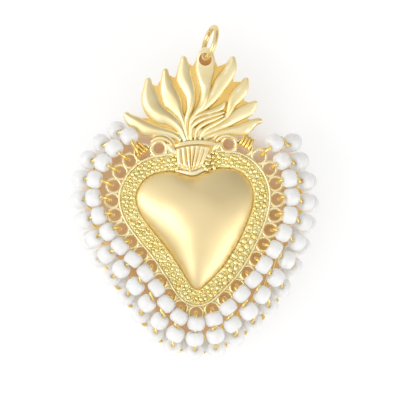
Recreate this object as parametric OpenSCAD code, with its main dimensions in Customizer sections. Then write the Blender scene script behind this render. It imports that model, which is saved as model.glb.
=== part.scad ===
// Sacred heart pendant: a puffed gold heart under a crown of flames, edged with stitched white beads.
// It hangs upright: X to the right, Z up, the front towards -Y, the origin in the jump ring's eye.

/* [Jump ring] */
// Outer diameter of the ring
ring_d = 6.2; // [5.8:0.1:7]
// Thickness of the ring's wire
ring_wire = 0.8; // [0.7:0.05:1]
// Lean of the ring to the right at rest, in degrees
ring_lean = 17; // [0:1:25]
// Turn of the ring away from edge on, in degrees
ring_turn = 17; // [0:1:20]
// Gap between the ring's wire and the top of its hole
ring_play = 0.28; // [0.24:0.01:0.36]

/* [Heart] */
// Width of the polished dome
heart_w = 20.25; // [18:0.05:23]
// Height of the polished dome
heart_h = 21.05; // [19:0.05:24]
// Rise of the dome above the plate
dome_h = 3.4; // [2.4:0.1:4.5]
// Wall of the hollow dome
dome_wall = 0.5; // [0.3:0.05:0.8]
// Width of the granulated border
grain_w = 2.3; // [1.8:0.05:2.8]
// Rise of the granulated border above the plate
grain_h = 0.8; // [0.5:0.05:1.2]
// Thickness of the smooth wire outside the border
rim_wire_d = 0.5; // [0.3:0.05:0.7]
// Thin seam left between pieces that are soldered side by side
seam = 0.06; // [0.02:0.01:0.1]

/* [Plate] */
// Thickness of the pierced plate
plate_t = 1.2; // [0.9:0.05:1.8]
// Diameter of a stitch hole
hole_d = 1.85; // [1.4:0.05:2]
// Metal left round a stitch hole
eyelet_wall = 0.55; // [0.4:0.05:0.8]
// Distance from the rim wire's middle to the row of holes
hole_out = 1.2; // [1.1:0.05:1.6]

/* [Crown] */
// Width of the flames
crown_w = 23.7; // [21:0.1:26]
// Height from the collar to the ring's hole
crown_h = 14.4; // [13:0.1:17]
// Thickness of the flat backing
crown_t = 0.8; // [0.6:0.05:1.2]
// Rise of the flames' ridges above the backing
ridge_h = 1.1; // [0.7:0.05:1.5]
// Diameter of the ring's hole
ring_hole_d = 2.2; // [2.1:0.05:2.5]
// Distance from the collar down to the notch of the dome
calyx_h = 5.3; // [5:0.05:6]
// Height of the collar band
band_w = 0.95; // [0.7:0.05:1.2]
// Rise of the collar band above the backing
band_rise = 1.2; // [0.8:0.05:1.5]
// Rise of the fluted fan above the backing
calyx_rise = 0.9; // [0.6:0.05:1.2]
// Width of a scroll's curl
scroll_w = 0.6; // [0.4:0.05:0.8]
// Rise of the scrolls above the backing
scroll_rise = 0.5; // [0.3:0.05:0.8]

/* [Beads] */
// Diameter of a bead
bead_d = 3; // [2.6:0.05:3.3]
// Length of a bead along its hole
bead_len = 2.2; // [1.8:0.05:2.4]
// Diameter of a bead's hole
bead_bore = 1.05; // [0.9:0.05:1.3]
// Gap that neighbouring beads keep
bead_gap = 0.16; // [0.14:0.01:0.2]
// Turn from an inner bead to the bead outside it, in degrees
bead_dip = 40; // [35:1:45]

/* [Binding wire] */
// Thickness of the binding wire
wire_d = 0.5; // [0.35:0.05:0.6]
// Gap between turns of the end wraps
wrap_gap = 0.08; // [0.05:0.01:0.15]
// Turns of each end wrap before the stitches
wrap_turns = 3; // [2:1:4]

/* [Hidden] */
$fn = 48;
gold = "goldenrod";
pale_gold = "khaki";
wire_gold = "gold";
bead_white = "whitesmoke";

bead_loops = 26;
function loop_name(k) = str("bead_loop_", k < 9 ? "0" : "", k + 1);

// Depths: the ring's hole is centred on Y 0, and the plate lies behind the backing
ring_lip = 0.6;
ring_hole_half = (ring_lip + crown_t) / 2;
front_y = ring_lip - ring_hole_half;
plate_y = front_y + crown_t;
plate_mid_y = plate_y + plate_t / 2;
back_y = plate_y + plate_t;

// The ring hangs the crown, the crown's collar carries the heart: places are [x, z]
ring_mid = (ring_d - ring_wire) / 2;
ring_in = ring_mid - ring_wire / 2;
ring_sag = ring_in - sqrt(ring_in * ring_in - ring_hole_half * ring_hole_half);
pivot = ring_mid * [-sin(ring_lean), -cos(ring_lean)];
ring_hole = pivot - [0, ring_hole_d / 2 - ring_wire / 2 - ring_sag - ring_play];
crown_drawn = [23.7, 14.4];
crown_scale = [crown_w / crown_drawn.x, crown_h / crown_drawn.y];
ring_hole_x = 1.53;
crown_at = ring_hole - [ring_hole_x * crown_scale.x, crown_h];
heart_drawn = [20.25, 21.05];
heart_scale = [heart_w / heart_drawn.x, heart_h / heart_drawn.y];
notch = [-0.25, 6.7];
heart_shift = 0.25;
heart_at = crown_at - [heart_shift, calyx_h + notch.y * heart_scale.y];

// Edge of the dome from its notch, over the left lobe, to the tip and back over the right lobe
dome_points = [
    notch, [-2.6, 7.25], [-5.1, 7.55], [-8.15, 6.55], [-9.85, 4.4], [-10.2, 2.4], [-9.35, 0],
    [-7.3, -2.8], [-4.75, -5.95], [-2.4, -9.5], [-0.7, -12.2], [0.75, -12.9], [2.9, -11.05],
    [5.1, -8.65], [7.15, -5.45], [8.85, -1.85], [9.95, 1.35], [10.05, 4.1], [9, 6.3],
    [7.15, 7.8], [4.6, 8.15], [2.05, 7.75]
];
dome_steps = 6;

function scaled(p, s) = [p.x * s.x, p.y * s.y];
function unit(v) = v / norm(v);
function mix(a, b, t) = a + (b - a) * t;
function wrap(i, n) = (i + n) % n;
function curve(a, b, c, d, t) =
    b + 0.5 * t * (c - a + t * (2 * a - 5 * b + 4 * c - d + t * (3 * (b - c) + d - a)));
function closed_curve(points, steps) = let (n = len(points)) [
    for (i = [0 : n - 1], j = [0 : steps - 1])
        curve(points[wrap(i - 1, n)], points[i], points[wrap(i + 1, n)], points[wrap(i + 2, n)], j / steps)
];
function bezier(p, t) =
    let (u = 1 - t) u * u * u * p[0] + 3 * u * u * t * p[1] + 3 * u * t * t * p[2] + t * t * t * p[3];
function bezier_slope(p, t) =
    let (u = 1 - t) u * u * (p[1] - p[0]) + 2 * u * t * (p[2] - p[1]) + t * t * (p[3] - p[2]);

dome_line = closed_curve([for (p = dome_points) scaled(p, heart_scale)], dome_steps);
dome_count = len(dome_line);
dome_normals = [
    for (i = [0 : dome_count - 1])
        let (d = dome_line[wrap(i + 1, dome_count)] - dome_line[wrap(i - 1, dome_count)])
        unit([d.y, -d.x])
];
function dome_offset(d) = [for (i = [0 : dome_count - 1]) dome_line[i] + d * dome_normals[i]];

// Angles about the heart's middle run from the notch over the left lobe
notch_angle = 90;
function angle_of(p) = let (a = atan2(p.y, p.x)) a < notch_angle ? a + 360 : a;
function heart_point(p, y) = [heart_at.x + p.x, y, heart_at.y + p.y];
function on_ray(a, r, y) = heart_point(r * [cos(a), sin(a)], y);

// Rows outside the dome: granulation, rim wire and stitch holes
grain_in = seam;
grain_out = grain_in + grain_w;
rim_out = grain_out + seam + rim_wire_d / 2;
hole_row = rim_out + hole_out;
border_from = 107;
border_to = 432.5;
plate_from = 103;
plate_to = 440;
plate_line = [for (p = dome_offset(hole_row)) if (angle_of(p) > plate_from && angle_of(p) < plate_to) p];
hole_table = [for (p = plate_line) [angle_of(p), norm(p)]];
function hole_r(a) = lookup(a, hole_table);

// Wrap holes end the stitching, and the holes beyond them are left free
wrap_left = 130;
wrap_right = 414;
free_left = 118.5;
free_right = 424.5;
last_loop = 402;
wrap_pitch = wire_d + wrap_gap;
wrap_hole_d = (wrap_turns + 1) * wrap_pitch;
wrap_edge = wrap_hole_d / 2 + eyelet_wall + wire_d / 2 + wrap_gap;
wrap_clear = wrap_edge + wire_d + bead_len / 2;

// Standoff of the inner beads from the row of holes by angle, and how far their stitches roll backwards
bead_row = [
    [130, 3.4], [150, 3.4], [165, 3.3], [180, 2.6], [190, 2.3], [205, 2], [220, 1.4], [240, 1.3], [257, 1.6],
    [275, 1.6], [290, 1.4], [320, 1.5], [340, 2.1], [352, 2.5], [365, 2.4], [390, 2.5], [402, 2.6]
];
bead_roll = [
    [130, 0.9], [165, 0.8], [180, 0.65], [200, 0.4], [220, 0], [320, 0], [340, 0.35], [360, 0.6], [402, 0.75]
];
roll_most = 26;
roll_least_turn = 0.4;
row_step = 1;
function total(v) = v * [for (x = v) 1];
function row_at(a, out) = (hole_r(a) + lookup(a, bead_row) + out) * [cos(a), sin(a)];
function row_gap(a, out) = norm(row_at(a + row_step, out) - row_at(a, out));
normal_span = 20;
function row_normal(a, out) =
    let (d = row_at(a + normal_span, out) - row_at(a - normal_span, out)) unit([d.y, -d.x]);
function row_table(from, to, out) = [
    for (a = from, s = 0; a <= to; s = s + row_gap(a, out), a = a + row_step) [s, a]
];
function row_share(table, share) = lookup(share * table[len(table) - 1][0], table);

// The inner beads stand side by side, the whole row farther out if they need the room
row_needs = (bead_loops - 1) * (bead_d + bead_gap);
row_plain = total([for (a = [wrap_left : row_step : last_loop - row_step]) row_gap(a, 0)]);
row_ease = max(0, row_needs - row_plain) / ((last_loop - wrap_left) * PI / 180);
inner_table = row_table(wrap_left, last_loop, row_ease);
function loop_share(k) = k / (bead_loops - 1);
function loop_angle(k) = row_share(inner_table, loop_share(k));

// Outside the inner beads the stitches fan out evenly
fan_out = row_ease + 3.5;
fan_from = 134;
fan_to = 396;
fan_table = row_table(fan_from, fan_to, fan_out);
function fan_at(k) = row_at(row_share(fan_table, loop_share(k)), fan_out);

// A bead is a short cylinder rounded by a sphere; how far it reaches at a cosine from its hole
bead_plump = 0.35;
bead_round = mix(bead_d / 2, norm([bead_d, bead_len]) / 2, bead_plump);
bead_lip = sqrt(bead_round * bead_round - bead_len * bead_len / 4);
function bead_reach(c) =
    c * bead_round > bead_len / 2 ? c * bead_len / 2 + sqrt(1 - c * c) * bead_lip : bead_round;

// Beads of a stitch as [middle, direction of the hole]: three from the front over the edge
edge_turn = 58;
front_bead_y = plate_y - bead_gap - bead_d / 2;
function tilted(p, dip) = [p.x * cos(dip), sin(dip), p.y * cos(dip)];
function next_bead(b, towards, axis) =
    [b[0] + (bead_reach(abs(b[1] * towards)) + bead_reach(axis * towards) + bead_gap) * towards, axis];
function stitch(k) =
    let (
        a = loop_angle(k),
        ends = k == 0 || k == bead_loops - 1,
        push = ends ? max(0, wrap_clear - lookup(a, bead_row) - row_ease) : 0,
        share = lookup(a, bead_roll),
        roll = share * roll_most,
        outer = roll + mix(roll_least_turn, 1, share) * bead_dip,
        edge = outer + edge_turn,
        inner = row_at(a, row_ease + push),
        fan = unit(fan_at(k) - inner),
        normal = row_normal(a, row_ease),
        first = [heart_point(inner, front_bead_y), tilted(normal, roll)],
        second = next_bead(first, tilted(fan, (roll + outer) / 2), tilted(normal, outer)),
        third = next_bead(second, tilted(fan, (outer + edge) / 2), tilted(normal, edge))
    )
    [first, second, third, normal, edge];
stitches = [for (k = [0 : bead_loops - 1]) stitch(k)];

// Where the stitches don't roll far back, a fourth bead stands behind, midway to the next stitch
rear_lean = 30;
rear_turn = 85;
rear_most_roll = 0.5;
rear_reach = 2 * bead_round + bead_gap;
function has_rear(k) = lookup(loop_angle(k), bead_roll) < rear_most_roll;
function rear_bead(k) =
    let (
        s = stitches[k],
        half = (stitches[k + 1][2][0] - s[2][0]) / 2,
        lean = tilted(s[3], s[4] + rear_lean),
        back = unit(lean - (lean * half) / (half * half) * half),
        away = sqrt(max(0, rear_reach * rear_reach - half * half))
    )
    [s[2][0] + half + away * back, tilted(s[3], s[4] + rear_turn)];
function beads(k) = [for (i = [0 : 2]) stitches[k][i], if (has_rear(k)) rear_bead(k)];

// Route of the binding wire: straight legs through holes and beads, joined by smooth bends
bead_leg = bead_len / 2 + wire_d / 5;
plate_leg = plate_t / 2 + wire_d / 3;
stitch_in = (hole_d - wire_d) / 3;
function side(a) = [-sin(a), 0, cos(a)];
function hole_leg(a, t, in) = [on_ray(a, hole_r(a) - in, plate_mid_y) + t * side(a), [0, -1, 0], plate_leg];
function edge_leg(a, t) =
    [on_ray(a, hole_r(a) + wrap_edge, plate_mid_y) + t * side(a), [0, 1, 0], plate_leg];
function strand(j) = (j - wrap_turns / 2) * wrap_pitch;
function stitch_legs(k) = [
    k == 0 ? hole_leg(wrap_left, strand(wrap_turns), 0) : hole_leg(loop_angle(k), 0, stitch_in),
    each [for (b = beads(k)) concat(b, bead_leg)]
];
wire_legs = concat(
    [for (j = [0 : wrap_turns - 1]) each
        [hole_leg(wrap_left, strand(j), 0), edge_leg(wrap_left, strand(j + 0.5))]],
    [for (k = [0 : bead_loops - 1]) each stitch_legs(k)],
    [for (j = [0 : wrap_turns]) each
        [hole_leg(wrap_right, strand(j), 0), edge_leg(wrap_right, strand(j + 0.5))]]
);
bend_steps = 3;
bend_pull = 1.05;
bend_most = 4;
function leg_start(e) = e[0] - e[1] * e[2];
function leg_end(e) = e[0] + e[1] * e[2];
function bend(p, u, q, v, t) =
    (2 * t * t * t - 3 * t * t + 1) * p + (t * t * t - 2 * t * t + t) * u
    + (3 * t * t - 2 * t * t * t) * q + (t * t * t - t * t) * v;
function bends(e, f) = let (p = leg_end(e), q = leg_start(f), pull = min(bend_most, bend_pull * norm(q - p)))
    [for (j = [1 : bend_steps]) bend(p, pull * e[1], q, pull * f[1], j / (bend_steps + 1))];
wire_route = [
    for (i = [0 : len(wire_legs) - 1]) each concat(
        [leg_start(wire_legs[i]), leg_end(wire_legs[i])],
        i < len(wire_legs) - 1 ? bends(wire_legs[i], wire_legs[i + 1]) : []
    )
];

// Flames as [base, first bend, second bend, tip, width, place of the widest part, share of the rise]
flames = [
    [[-2.5, 1.75], [-6.2, 2.6], [-9.6, 3.5], [-12.5, 5.5], 2.6, 0.72, 0.87],
    [[-2.4, 1.9], [-5.2, 5], [-9.1, 6], [-8.1, 11.6], 2.8, 0.66, 0.98],
    [[-2, 2], [-2.6, 6.2], [-6.5, 7.9], [-5.2, 13.05], 2.8, 0.66, 0.9],
    [[-1.6, 2], [-0.6, 7.2], [-3.15, 9.95], [-2.1, 15.25], 2.6, 0.7, 0.95],
    [[-1.1, 2], [0.8, 6.5], [2.1, 9.6], [1.58, 16.65], 3.3, 0.84, 1],
    [[-0.4, 2], [2.6, 6.7], [4, 10.1], [6.45, 15.15], 2.7, 0.72, 0.92],
    [[5.35, 4.35], [5.9, 7.4], [7.4, 8.9], [8.75, 11.65], 2.3, 0.6, 0.84],
    [[0.8, 1.9], [4.3, 3.15], [7.05, 5.5], [10.8, 7.2], 2.1, 0.75, 0.96],
    [[1.5, 1.9], [5, 2.5], [8.4, 2.1], [11.2, 4.1], 1.4, 0.72, 0.89],
    [[-0.5, 2.6], [0.6, 5.5], [3.15, 5.7], [4.85, 7.25], 1.3, 0.6, 0.82],
    [[0.1, 1.9], [0.6, 4.3], [2.8, 4.65], [4.55, 5.4], 1.4, 0.6, 0.85]
];
flame_rings = 12;
flame_base_share = 0.3;
flame_tip_share = 0.16;
function flame_width(f, t) =
    let (w = f[4], m = f[5])
    t < m ? w * mix(flame_base_share, 1, sin(90 * t / m))
          : w * max(flame_tip_share, sqrt(1 - pow((t - m) / (1 - m), 2)));
// Flames rise from a low foot and sink towards their tips, the one with the ring's hole to the hole's lip
ring_flame = 4;
tip_sink = 0.45;
foot_rise = 0.3;
foot_part = 0.3;
function flame_rise(i, t) =
    (i == ring_flame ? mix(ridge_h, ring_lip, t) : flames[i][6] * ridge_h)
    * mix(foot_rise, 1, sin(90 * min(1, t / foot_part))) * (1 - tip_sink * pow(t, 4));
// Section of a flame as [share of the half width, share of the rise]
flame_section = [
    [-1, 0], [-0.85, 0.34], [-0.4, 0.62], [-0.06, 1], [0.06, 1], [0.4, 0.62], [0.85, 0.34], [1, 0]
];

// Low mound above the collar that the flames grow from
root_at = [-0.65, 1.95];
root_half = [2.75, 0.98];
root_sides = 24;
root_section = [[1, 0], [0.96, 0.42], [0.8, 0.6]];

// Outline of the backing, clockwise from the left foot of its stem
backing_points = [
    [-2.6, -4.15], [-3.1, -0.9], [-4.4, 0], [-5.2, 0.5], [-6.1, 0.7], [-6.9, 0.55], [-7.4, 1],
    [-9.1, 2.1], [-10.6, 2.8], [-11.7, 4.5], [-8, 4.4], [-9, 6.9], [-8.2, 10.4], [-6.7, 9.9],
    [-5.35, 12.1], [-3.65, 11.3], [-2.2, 14.2], [-0.6, 13.3], [0.4, 15.1], [1.58, 16.1], [2.8, 15.1],
    [3.65, 13.2], [6.2, 14.2], [6.3, 10.6], [8.4, 10.6], [8.1, 7.4], [9.9, 6.7], [8.75, 4.35],
    [10.1, 3.5], [7.4, 1.9], [6.7, 1], [5.9, 1], [5.2, 1.1], [4.3, 0.85], [3.5, 0.25], [2.7, -0.8], [2, -3.5]
];
scroll_out = 2.45 * min(crown_scale.x, crown_scale.y);
scroll_centres = [[-6.1, -1.15], [5.2, -0.75]];

function crown_point(p, y) = [crown_at.x + p.x * crown_scale.x, y, crown_at.y + p.y * crown_scale.y];

// A solid through rings of as many points each, with a flat cap on its first and last ring
module loft(rings) {
    n = len(rings[0]);
    last = len(rings) - 1;
    sides = [
        for (i = [0 : last - 1], k = [0 : n - 1])
            let (a = i * n + k, b = i * n + (k + 1) % n) each [[a, a + n, b], [b, a + n, b + n]]
    ];
    caps = [
        for (k = [1 : n - 2]) each [[0, k, k + 1], [last * n, last * n + k + 1, last * n + k]]
    ];
    polyhedron([for (ring = rings) each ring], concat(sides, caps), convexity = 6);
}

// A round tube along a route, without twist
module tube(route, d, sides) {
    last = len(route) - 1;
    ahead = [for (i = [0 : last]) unit(route[min(i + 1, last)] - route[max(i - 1, 0)])];
    start = [0.3, 0.2, 0.9];
    function across(v, t) = unit(v - (v * t) * t);
    normals = [
        for (i = 0, v = across(start, ahead[0]); i <= last;
             i = i + 1, v = i <= last ? across(v, ahead[i]) : v) v
    ];
    loft([
        for (i = [0 : last]) let (u = normals[i], w = cross(ahead[i], u))
            [for (k = [0 : sides - 1]) let (a = 360 * k / sides) route[i] + d / 2 * (cos(a) * u + sin(a) * w)]
    ]);
}

// Moves a flat shape to stand at depth y, thick towards the front
module slab(y, t) translate([0, y, 0]) rotate([90, 0, 0]) linear_extrude(t) children();

// A round bore or boss through the depth, from depth y0 back to y1
module post(x, z, d, y0, y1) translate([x, y1, z]) rotate([90, 0, 0]) cylinder(d = d, h = y1 - y0);

function border_samples(d) = [
    for (i = [0 : dome_count - 1])
        let (p = dome_line[i] + d * dome_normals[i], a = angle_of(p))
        if (a > border_from && a < border_to) i
];
function border_ring(i, section) =
    [for (s = section) heart_point(dome_line[i] + s.x * dome_normals[i], plate_y - s.y)];

module jump_ring()
    color(gold)
    rotate([0, ring_lean, 0])
    rotate([0, 0, ring_turn])
    rotate([0, 90, 0])
    rotate_extrude()
    translate([ring_mid, 0]) circle(d = ring_wire);

plate_holes = concat(
    [for (k = [1 : bead_loops - 1]) [loop_angle(k), hole_d]],
    [[wrap_left, wrap_hole_d], [wrap_right, wrap_hole_d], [free_left, hole_d], [free_right, hole_d]]
);

module heart_plate()
    color(gold)
    difference() {
        union() {
            slab(back_y, plate_t)
                polygon([for (p = plate_line) heart_at + p]);
            for (h = plate_holes) hole_post(h[0], h[1] + 2 * eyelet_wall, 0);
        }
        for (h = plate_holes) hole_post(h[0], h[1], plate_t);
    }

module hole_post(a, d, over) {
    p = on_ray(a, hole_r(a), 0);
    post(p.x, p.z, d, plate_y - over, back_y + over);
}

// Share of the rise at a share of the way out from the dome's middle
dome_flat = 2.2;
dome_steep = 0.62;
function dome_rise(s) = pow(1 - pow(s, dome_flat), dome_steep);
dome_shares = [0.04, 0.3, 0.52, 0.7, 0.84, 0.93, 0.98, 1];
function dome_ring(s, inset, rise) = [
    for (i = [0 : dome_count - 1])
        heart_point(s * (dome_line[i] - inset * dome_normals[i]), plate_y - rise * dome_rise(s))
];

module heart_dome()
    color(pale_gold)
    loft(concat(
        [for (s = dome_shares) dome_ring(s, dome_wall, dome_h - dome_wall)],
        [for (j = [len(dome_shares) - 1 : -1 : 0]) dome_ring(dome_shares[j], 0, dome_h)]
    ));

grain_shoulder = 0.3 * grain_w;
grain_side = 0.7 * grain_h;
module grain_border() {
    section = [
        [grain_in, 0], [grain_in, grain_side], [grain_in + grain_shoulder, grain_h],
        [grain_out - grain_shoulder, grain_h], [grain_out, grain_side], [grain_out, 0]
    ];
    color(gold) loft([for (i = border_samples(rim_out)) border_ring(i, section)]);
}

module rim_wire() {
    sides = 6;
    section = [
        for (k = [0 : sides - 1]) let (a = 120 - 360 * k / sides)
            [rim_out + rim_wire_d / 2 * cos(a), rim_wire_d / 2 + rim_wire_d / 2 * sin(a)]
    ];
    color(pale_gold) loft([for (i = border_samples(rim_out)) border_ring(i, section)]);
}

module ring_hole_post()
    post(ring_hole.x, ring_hole.y, ring_hole_d, front_y - 2 * ridge_h, plate_y + crown_t);

module flame_back()
    color(gold)
    difference() {
        slab(plate_y, crown_t)
            polygon([for (p = backing_points) let (q = crown_point(p, 0)) [q.x, q.z]]);
        ring_hole_post();
    }

module flame(i) {
    f = flames[i];
    loft([
        for (j = [0 : flame_rings])
            let (
                t = j / flame_rings,
                d = unit(bezier_slope(f, t)),
                c = bezier(f, t),
                across = flame_width(f, t) / 2 * [d.y, -d.x]
            )
            [for (s = flame_section) crown_point(c + s.x * across, front_y - s.y * flame_rise(i, t))]
    ]);
}

module flame_root()
    loft([
        for (s = root_section) [
            for (k = [0 : root_sides - 1])
                let (a = 360 * k / root_sides)
                crown_point(root_at + s.x * scaled(root_half, [cos(a), sin(a)]), front_y - s.y * ridge_h)
        ]
    ]);

module flame_tongues()
    color(pale_gold)
    difference() {
        union() {
            flame_root();
            for (i = [0 : len(flames) - 1]) flame(i);
        }
        ring_hole_post();
    }

// The collar arches over the stem, a little higher on the right, and thins out at its ends
band_half = 3.6;
band_arch = 0.55;
band_top = 0.33;
band_tilt = 0.09;
band_thin = 0.35;
band_rings = 12;
module crown_band() {
    section = [[-0.5, 0], [-0.45, 0.6], [-0.2, 0.95], [0.2, 0.95], [0.45, 0.6], [0.5, 0]];
    color(pale_gold)
    loft([
        for (j = [0 : band_rings])
            let (
                t = 2 * j / band_rings - 1,
                end = 1 - band_thin * pow(t, 6),
                mid = [band_half * t, band_top - band_arch * t * t + band_tilt * t]
            )
            [for (s = section)
                crown_point(mid, front_y - s.y * band_rise * end) + [0, 0, -s.x * band_w * end]]
    ]);
}

// Flutes of the fan, from the collar down to the notch
flutes = 9;
flute_steps = 4;
flute_valley = 0.35;
fan_top = [[-3.2, -0.45], [3.05, -0.2]];
fan_low = [[-2.35, -4.35], [1.9, -3.85]];
fan_arch = 0.5;
fan_dip = 0.35;
fan_side = 0.7;
fan_head = 0.8;
fan_foot = 0.45;
module calyx_fan() {
    n = flutes * flute_steps;
    color(pale_gold)
    loft([
        for (j = [0 : n])
            let (
                t = j / n,
                across = pow(2 * t - 1, 2),
                ridge = abs(sin(180 * flutes * t)),
                rise = calyx_rise * mix(flute_valley, 1, ridge) * mix(1, fan_side, across),
                lift = fan_arch * (1 - across) - band_w / 2,
                top = mix(fan_top[0], fan_top[1], t) + [0, lift],
                low = mix(fan_low[0], fan_low[1], t) - [0, fan_dip * sin(180 * t)]
            )
            [crown_point(top, front_y), crown_point(top, front_y - fan_head * rise),
             crown_point((low + top) / 2, front_y - rise), crown_point(low, front_y - fan_foot * rise),
             crown_point(low, front_y)]
    ]);
}

scroll_from = 48;
scroll_sweep = 84;
module scroll(c) {
    r = scroll_out - scroll_w;
    bevel = scroll_w / 4;
    color(gold)
    translate(crown_point(c, front_y))
    rotate([90, 0, 0])
    rotate_extrude(angle = scroll_sweep, start = scroll_from)
    polygon([[r, 0], [r + scroll_w, 0], [r + scroll_w - bevel, scroll_rise], [r + bevel, scroll_rise]]);
}

module scroll_left() scroll(scroll_centres[0]);

module scroll_right() scroll(scroll_centres[1]);

wire_sides = 6;
module binding_wire() color(wire_gold) tube(wire_route, wire_d, wire_sides);

// A bead with its hole along d, its ends rounded off
module bead(c, d)
    translate(c)
    rotate([0, acos(d.z), atan2(d.y, d.x)])
    difference() {
        intersection() {
            cylinder(d = bead_d, h = bead_len, center = true);
            sphere(r = bead_round);
        }
        cylinder(d = bead_bore, h = 2 * bead_len, center = true);
    }

module bead_loop(k)
    color(bead_white)
    for (b = beads(k)) bead(b[0], b[1]);

jump_ring();
heart_plate();
heart_dome();
grain_border();
rim_wire();
flame_back();
flame_tongues();
crown_band();
calyx_fan();
scroll_left();
scroll_right();
binding_wire();
for (k = [0 : bead_loops - 1])
    bead_loop(k);
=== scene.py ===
# Sacred heart pendant: a polished gold heart under a crown of flames, edged with stitched white beads.
import math
import random

import bmesh
import bpy
import numpy as np
from mathutils import Matrix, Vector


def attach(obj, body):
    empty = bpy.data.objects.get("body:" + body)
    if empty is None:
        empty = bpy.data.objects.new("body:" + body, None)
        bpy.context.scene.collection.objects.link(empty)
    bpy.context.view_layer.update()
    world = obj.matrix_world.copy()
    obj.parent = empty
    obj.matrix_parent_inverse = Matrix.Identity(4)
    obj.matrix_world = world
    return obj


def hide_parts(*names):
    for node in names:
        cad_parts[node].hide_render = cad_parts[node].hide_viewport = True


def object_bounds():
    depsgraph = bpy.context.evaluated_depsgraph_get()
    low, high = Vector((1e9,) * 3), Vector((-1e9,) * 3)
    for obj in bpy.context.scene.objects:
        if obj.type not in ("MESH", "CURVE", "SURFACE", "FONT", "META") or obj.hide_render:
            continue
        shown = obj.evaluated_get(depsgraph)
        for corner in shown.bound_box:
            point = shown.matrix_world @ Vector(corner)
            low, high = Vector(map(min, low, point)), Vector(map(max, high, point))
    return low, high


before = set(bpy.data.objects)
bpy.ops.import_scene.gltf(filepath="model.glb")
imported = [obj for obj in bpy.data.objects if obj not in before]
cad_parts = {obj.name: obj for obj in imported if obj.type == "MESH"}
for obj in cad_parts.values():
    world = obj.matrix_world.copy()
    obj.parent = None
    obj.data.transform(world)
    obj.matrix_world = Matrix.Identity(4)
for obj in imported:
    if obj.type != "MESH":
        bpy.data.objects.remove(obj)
cad_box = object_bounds()
scene = bpy.context.scene
scene.view_settings.view_transform = "Standard"

# Sizes below are in millimetres, as in the part's source; X right, Z up, the front towards -Y
MM = 0.001

# The camera looks straight at the front
VIEW_MIDDLE = (-1.695, -26.775)
VIEW_SIDE = 68.0
VIEW_FROM = 480.0
camera = bpy.data.objects.new("Camera", bpy.data.cameras.new("Camera"))
camera.data.lens = camera.data.sensor_width * VIEW_FROM / VIEW_SIDE
camera.location = (VIEW_MIDDLE[0] * MM, -VIEW_FROM * MM, VIEW_MIDDLE[1] * MM)
camera.rotation_euler = (math.pi / 2, 0, 0)
scene.collection.objects.link(camera)
scene.camera = camera

# Sizes of the pendant
RING_MID = 2.7
RING_SHOW_D = 0.9
RING_LEAN = math.radians(17)
RING_TURN = math.radians(17)
FRONT_Y = -0.1
PLATE_Y = 0.7
PLATE_T = 1.2
PLATE_MID_Y = PLATE_Y + PLATE_T / 2
BACK_Y = PLATE_Y + PLATE_T
RING_HOLE = np.array([-0.789404, -2.89291])
RING_HOLE_D = 2.2
CROWN_AT = np.array([-2.3194, -17.2929])
HEART_AT = np.array([-2.5694, -29.2929])
DOME_H = 3.4
DOME_WALL = 0.5
SEAM = 0.06
GRAIN_W = 2.3
GRAIN_H = 0.8
RIM_WIRE_D = 0.5
HOLE_D = 1.85
HOLE_OUT = 1.2
EYELET_WALL = 0.55
BEAD_D = 3.0
BEAD_LEN = 2.2
BEAD_GAP = 0.16
BEAD_DIP = 40.0
WIRE_D = 0.5
WRAP_GAP = 0.08
WRAP_TURNS = 3
BEAD_LOOPS = 26
EYELET_LIP = 0.26


def unit(v):
    return v / np.linalg.norm(v)


def mix(a, b, t):
    return a + (b - a) * t


def lookup(x, table):
    return float(np.interp(x, [row[0] for row in table], [row[1] for row in table]))


def turned(a):
    return np.array([math.cos(math.radians(a)), math.sin(math.radians(a))])


def smooth_step(x, low, high):
    t = np.clip((x - low) / (high - low), 0, 1)
    return t * t * (3 - 2 * t)


def round_turns(sides):
    """Angles at even steps round a full turn."""
    return [2 * math.pi * k / sides for k in range(sides)]


def half_turns(steps):
    """Angles at even steps over a half turn, both ends included."""
    return [math.pi * k / steps for k in range(steps + 1)]


# Edge of the dome from its notch, over the left lobe, to the tip and back over the right lobe
DOME_POINTS = [
    (-0.25, 6.7), (-2.6, 7.25), (-5.1, 7.55), (-8.15, 6.55), (-9.85, 4.4), (-10.2, 2.4), (-9.35, 0),
    (-7.3, -2.8), (-4.75, -5.95), (-2.4, -9.5), (-0.7, -12.2), (0.75, -12.9), (2.9, -11.05),
    (5.1, -8.65), (7.15, -5.45), (8.85, -1.85), (9.95, 1.35), (10.05, 4.1), (9, 6.3),
    (7.15, 7.8), (4.6, 8.15), (2.05, 7.75),
]
DOME_STEPS = 6
EDGE_STEPS = 14
EDGE_COUNT = 420
EDGE_EASE = 0.5
CORE_EASE = 5.2


def curve_point(a, b, c, d, t):
    """A point at share t between b and c, on the smooth curve that also goes through a and d."""
    return b + 0.5 * t * (c - a + t * (2 * a - 5 * b + 4 * c - d + t * (3 * (b - c) + d - a)))


def closed_curve(points, steps):
    p = np.array(points, float)
    n = len(p)
    line = []
    for i in range(n):
        around = p[i - 1], p[i], p[(i + 1) % n], p[(i + 2) % n]
        line += [curve_point(*around, j / steps) for j in range(steps)]
    return np.array(line)


def open_curve(rows, steps):
    p = np.array(rows, float)
    p = np.vstack([2 * p[0] - p[1], p, 2 * p[-1] - p[-2]])
    line = []
    for i in range(1, len(p) - 2):
        line += [curve_point(*p[i - 1:i + 3], j / steps) for j in range(steps)]
    return np.array(line + [p[-2]])


def outward(line):
    d = np.roll(line, -1, axis=0) - np.roll(line, 1, axis=0)
    n = np.stack([d[:, 1], -d[:, 0]], axis=1)
    return n / np.linalg.norm(n, axis=1, keepdims=True)


def angle_of(p):
    """Angle in degrees of a point about the heart's middle, from 90 at the top round to 450."""
    a = math.degrees(math.atan2(p[1], p[0]))
    return a + 360 if a < 90 else a


def heart_point(p, y):
    return np.array([HEART_AT[0] + p[0], y, HEART_AT[1] + p[1]])


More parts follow.
